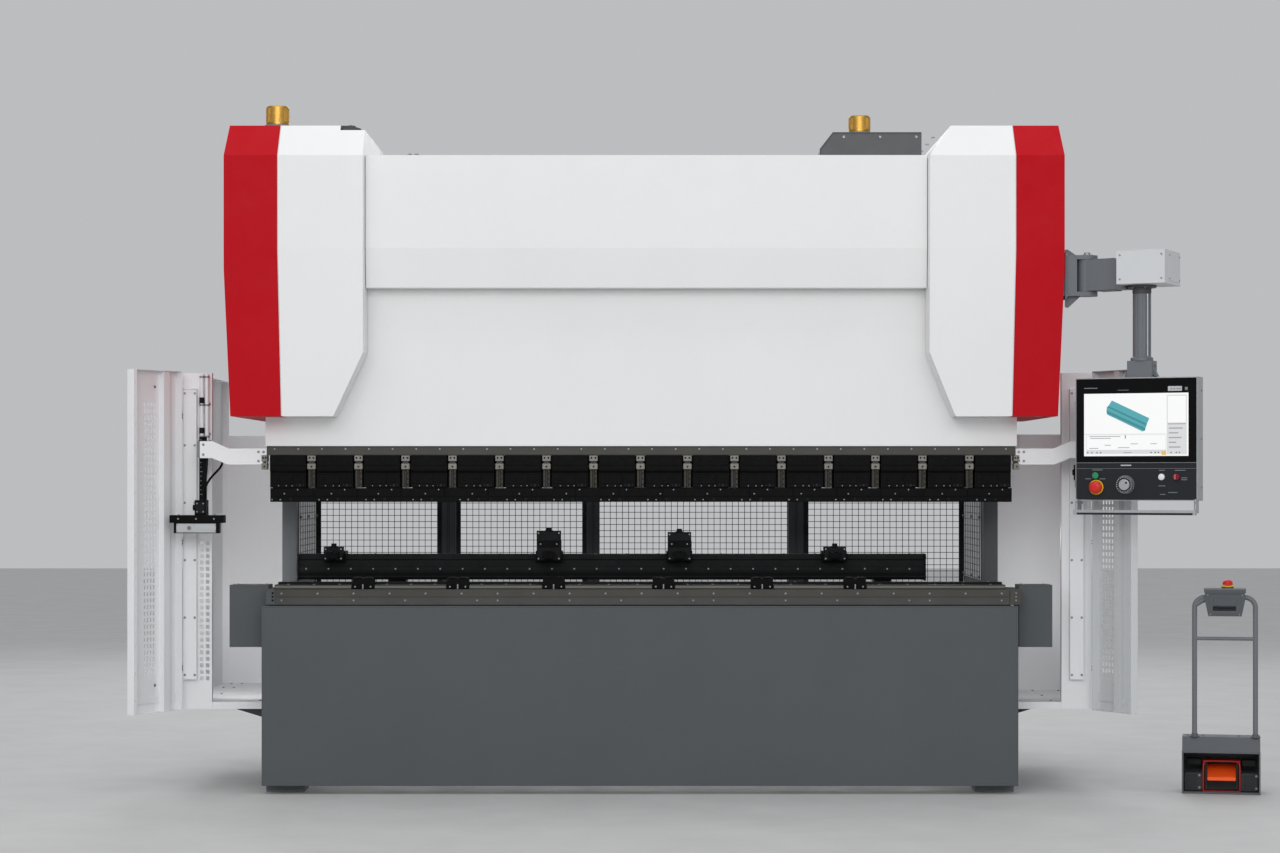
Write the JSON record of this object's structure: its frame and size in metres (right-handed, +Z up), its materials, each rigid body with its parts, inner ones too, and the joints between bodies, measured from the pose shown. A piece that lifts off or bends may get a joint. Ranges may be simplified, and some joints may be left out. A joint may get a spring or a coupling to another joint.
{
  "type": "electric press brake",
  "caption": "Sheet metal bending press with a driven ram, punch holders over a bed table, backgauge, guarded sides, swinging control panel and foot control.",
  "frame": {"origin": "centre of the four floor anchor holes, at floor level", "axes": "+X to the operator's right along the bend line, +Y to the rear, +Z up"},
  "size_m": [4.9561, 2.0462, 3.005],
  "materials": {
    "frame_grey": "satin",
    "bed_grey": "satin",
    "white_paint": "satin",
    "red_paint": "gloss",
    "black_steel": "satin",
    "ground_steel": "brushed",
    "brass": "satin",
    "mesh_black": "satin",
    "panel_silver": "satin",
    "light_grey": "satin",
    "pendant_grey": "satin",
    "black_glass": "gloss",
    "slate_plastic": "matte",
    "red_plastic": "gloss",
    "green_plastic": "gloss",
    "white_plastic": "gloss",
    "orange_plastic": "satin",
    "foot_grey": "satin"
  },
  "bodies": {
    "machine": {"left_side_frame": "frame_grey", "right_side_frame": "frame_grey", "bed_beam": "frame_grey", "bed_apron": "bed_grey", "bed_wings": "bed_grey", "levelling_feet": "ground_steel", "table_top": "ground_steel", "die_rails": "ground_steel", "die_clamps": "black_steel", "upper_cover": "white_paint", "white_end_covers": "white_paint", "red_end_covers": "red_paint", "top_box": "frame_grey", "filler_caps": "brass", "rear_frame": "frame_grey", "rear_guard_panels": "mesh_black", "side_walls": "white_paint", "enclosure_trays": "white_paint", "pendant_bracket": "pendant_grey", "drive_housings": "frame_grey", "servo_motors": "black_steel", "guide_rails": "ground_steel", "electrical_cabinet": "frame_grey", "foot_stand": "foot_grey", "foot_box": "foot_grey", "foot_hood": "foot_grey"},
    "ram": {"ram_beam": "frame_grey", "ram_skin": "white_paint", "punch_holders": "black_steel", "ball_nuts": "ground_steel", "laser_arms": "white_paint"},
    "punch_clamp": {"punch_clamp_bar": "black_steel"},
    "screw_left": {"left_ball_screw": "ground_steel"},
    "screw_right": {"right_ball_screw": "ground_steel"},
    "laser_left": {"left_laser_head": "black_steel"},
    "laser_right": {"right_laser_head": "black_steel"},
    "boom": {"pendant_boom": "pendant_grey", "swivel_box": "light_grey"},
    "pendant": {"pendant_post": "pendant_grey", "panel_housing": "panel_silver", "panel_glass": "black_glass", "control_strip": "slate_plastic", "panel_handle": "panel_silver"},
    "estop_button": {"panel_estop": "red_plastic"},
    "dial": {"panel_dial": "panel_silver"},
    "start_button": {"green_button": "green_plastic"},
    "reset_button": {"white_button": "white_plastic"},
    "key": {"key_switch": "red_plastic"},
    "door_left": {"left_side_door": "white_paint"},
    "door_right": {"right_side_door": "white_paint"},
    "door_rear": {"rear_guard_door": "mesh_black"},
    "gauge_carriage": {"backgauge_carriages": "frame_grey"},
    "gauge_beam": {"backgauge_beam": "black_steel"},
    "finger_1": {"finger_far_left": "black_steel"},
    "finger_2": {"finger_mid_left": "black_steel"},
    "finger_3": {"finger_mid_right": "black_steel"},
    "finger_4": {"finger_far_right": "black_steel"},
    "door_cabinet": {"cabinet_door": "frame_grey"},
    "pedal": {"foot_pedal": "orange_plastic"},
    "foot_button": {"foot_estop": "red_plastic"}
  },
  "joints": [
    {"name": "ram_slide", "type": "slide", "parent": "machine", "child": "ram", "axis": [0, 0, -1], "range_m": [0, 0.2]},
    {"name": "punch_clamp_slide", "type": "slide", "parent": "ram", "child": "punch_clamp", "axis": [0, 1, 0], "range_m": [0, 0.003]},
    {"name": "screw_left_turn", "type": "hinge", "parent": "machine", "child": "screw_left", "pos_m": [-1.4, -0.43, 2], "axis": [0, 0, 1], "range_deg": [0, 3601]},
    {"name": "screw_right_turn", "type": "hinge", "parent": "machine", "child": "screw_right", "pos_m": [1.4, -0.43, 2], "axis": [0, 0, 1], "range_deg": [0, 3601]},
    {"name": "laser_left_height", "type": "slide", "parent": "ram", "child": "laser_left", "axis": [0, 0, 1], "range_m": [-0.06, 0.07]},
    {"name": "laser_right_height", "type": "slide", "parent": "ram", "child": "laser_right", "axis": [0, 0, 1], "range_m": [-0.2, 0.02]},
    {"name": "boom_swing", "type": "hinge", "parent": "machine", "child": "boom", "pos_m": [1.935, -0.79, 2.25], "axis": [0, 0, 1], "range_deg": [-5, 30]},
    {"name": "pendant_swivel", "type": "hinge", "parent": "boom", "child": "pendant", "pos_m": [2.143, -0.95, 2.2], "axis": [0, 0, 1], "range_deg": [-35, 60]},
    {"name": "estop_press", "type": "slide", "parent": "pendant", "child": "estop_button", "axis": [0.4384, 0.8988, 0], "range_m": [0, 0.004], "stiffness_N_per_m": 1500},
    {"name": "dial_turn", "type": "hinge", "parent": "pendant", "child": "dial", "pos_m": [2.06235, -0.98376, 1.351], "axis": [0.4384, 0.8988, 0], "continuous": true},
    {"name": "start_press", "type": "slide", "parent": "pendant", "child": "start_button", "axis": [0.4384, 0.8988, 0], "range_m": [0, 0.002], "stiffness_N_per_m": 1500},
    {"name": "reset_press", "type": "slide", "parent": "pendant", "child": "reset_button", "axis": [0.4384, 0.8988, 0], "range_m": [0, 0.002], "stiffness_N_per_m": 1500},
    {"name": "key_turn", "type": "hinge", "parent": "pendant", "child": "key", "pos_m": [2.26537, -1.07165, 1.384], "axis": [0.4384, 0.8988, 0], "range_deg": [0, 60]},
    {"name": "door_left_swing", "type": "hinge", "parent": "machine", "child": "door_left", "pos_m": [-2.044, -0.459, 1], "axis": [0, 0, -1], "range_deg": [0, 100]},
    {"name": "door_right_swing", "type": "hinge", "parent": "machine", "child": "door_right", "pos_m": [2.019, -0.459, 1], "axis": [0, 0, 1], "range_deg": [0, 100]},
    {"name": "door_rear_swing", "type": "hinge", "parent": "machine", "child": "door_rear", "pos_m": [0.76, 0.634, 1.2], "axis": [0, 0, -1], "range_deg": [0, 110]},
    {"name": "gauge_depth", "type": "slide", "parent": "machine", "child": "gauge_carriage", "axis": [0, 1, 0], "range_m": [-0.08, 0.5]},
    {"name": "gauge_height", "type": "slide", "parent": "gauge_carriage", "child": "gauge_beam", "axis": [0, 0, 1], "range_m": [-0.02, 0.12]},
    {"name": "finger_1_slide", "type": "slide", "parent": "gauge_beam", "child": "finger_1", "axis": [1, 0, 0], "range_m": [-0.1, 0.6]},
    {"name": "finger_2_slide", "type": "slide", "parent": "gauge_beam", "child": "finger_2", "axis": [1, 0, 0], "range_m": [-0.5, 0.3]},
    {"name": "finger_3_slide", "type": "slide", "parent": "gauge_beam", "child": "finger_3", "axis": [1, 0, 0], "range_m": [-0.25, 0.5]},
    {"name": "finger_4_slide", "type": "slide", "parent": "gauge_beam", "child": "finger_4", "axis": [1, 0, 0], "range_m": [-0.5, 0.3]},
    {"name": "cabinet_swing", "type": "hinge", "parent": "machine", "child": "door_cabinet", "pos_m": [2.016, 0.91, 0.9], "axis": [0, 0, 1], "range_deg": [0, 110]},
    {"name": "pedal_press", "type": "hinge", "parent": "machine", "child": "pedal", "pos_m": [2.56805, -0.5488, 0.112], "axis": [0.9781, -0.2079, 0], "range_deg": [0, 14], "stiffness_Nm_per_rad": 20, "springref_deg": -20.05},
    {"name": "foot_stop_press", "type": "slide", "parent": "machine", "child": "foot_button", "axis": [0, 0, -1], "range_m": [0, 0.004], "stiffness_N_per_m": 1500}
  ],
  "couplings": [
    {"joint": "screw_left_turn", "follows": "ram_slide", "rad_per_m": 314.16},
    {"joint": "screw_right_turn", "follows": "ram_slide", "rad_per_m": 314.16}
  ]
}
